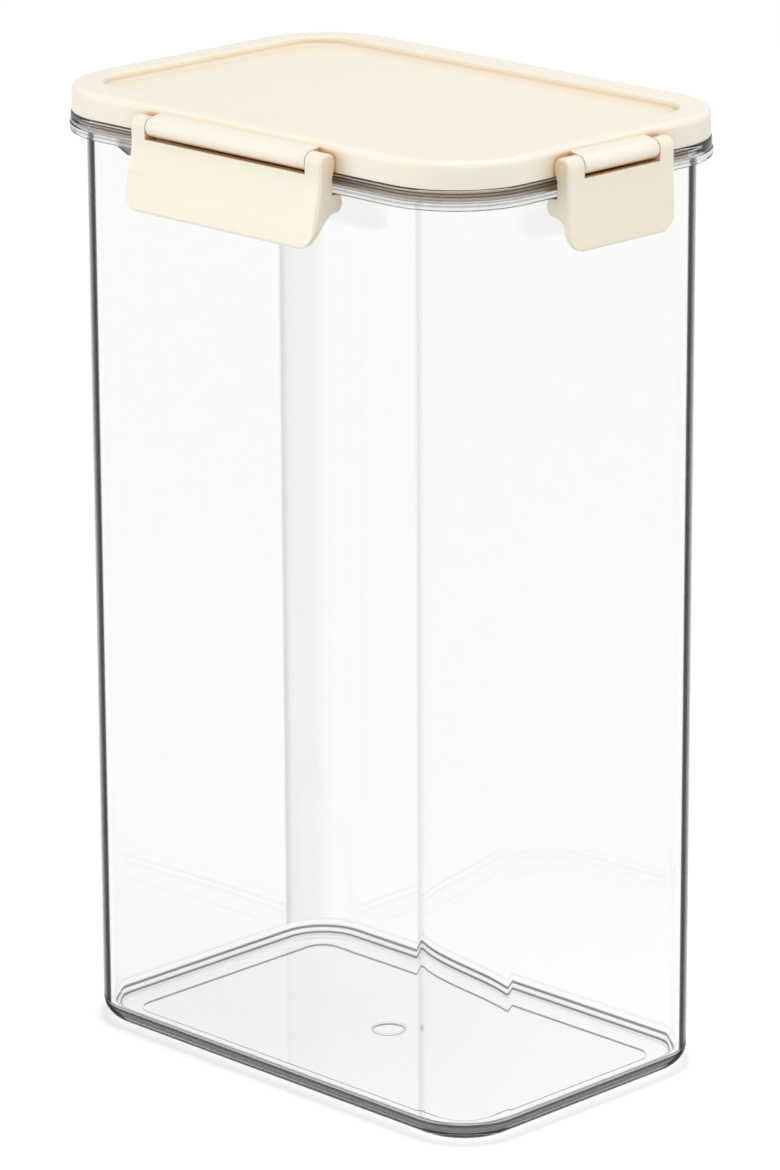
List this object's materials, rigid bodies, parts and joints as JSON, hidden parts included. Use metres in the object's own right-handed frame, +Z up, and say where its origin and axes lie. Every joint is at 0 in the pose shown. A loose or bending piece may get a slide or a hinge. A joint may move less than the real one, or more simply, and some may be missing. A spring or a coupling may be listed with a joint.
{
  "type": "clip-lock cereal container",
  "caption": "Tall clear rectangular food container with a cream clip-lock lid: a recessed top panel, a plug with a gasket, and flip latches that hook under the clear rim.",
  "frame": {"origin": "centre of the underside, on the plane the container stands on", "axes": "+Z up through the centre of the lid, +X along the long side, +Y across the short side"},
  "size_m": [0.161, 0.1196, 0.252],
  "materials": {
    "clear_plastic": "clear polished moulded plastic",
    "lid_plastic": "smooth satin cream plastic",
    "gasket_silicone": "soft translucent white silicone",
    "latch_plastic": "smooth satin cream plastic"
  },
  "bodies": {
    "container": {"container": "clear_plastic"},
    "lid": {"lid": "lid_plastic", "gasket": "gasket_silicone"},
    "latch_front": {"latch_front": "latch_plastic"},
    "latch_back": {"latch_back": "latch_plastic"},
    "latch_left": {"latch_left": "latch_plastic"},
    "latch_right": {"latch_right": "latch_plastic"}
  },
  "joints": [
    {"name": "lid_lift", "type": "slide", "parent": "container", "child": "lid", "axis": [0, 0, 1], "range_m": [0, 0.09]},
    {"name": "latch_front_hinge", "type": "hinge", "parent": "lid", "child": "latch_front", "pos_m": [0, -0.0543, 0.2477], "axis": [-1, 0, 0], "range_deg": [0, 120]},
    {"name": "latch_back_hinge", "type": "hinge", "parent": "lid", "child": "latch_back", "pos_m": [0, 0.0543, 0.2477], "axis": [1, 0, 0], "range_deg": [0, 120]},
    {"name": "latch_left_hinge", "type": "hinge", "parent": "lid", "child": "latch_left", "pos_m": [-0.0775, 0, 0.2477], "axis": [0, 1, 0], "range_deg": [0, 120]},
    {"name": "latch_right_hinge", "type": "hinge", "parent": "lid", "child": "latch_right", "pos_m": [0.0775, 0, 0.2477], "axis": [0, -1, 0], "range_deg": [0, 120]}
  ]
}
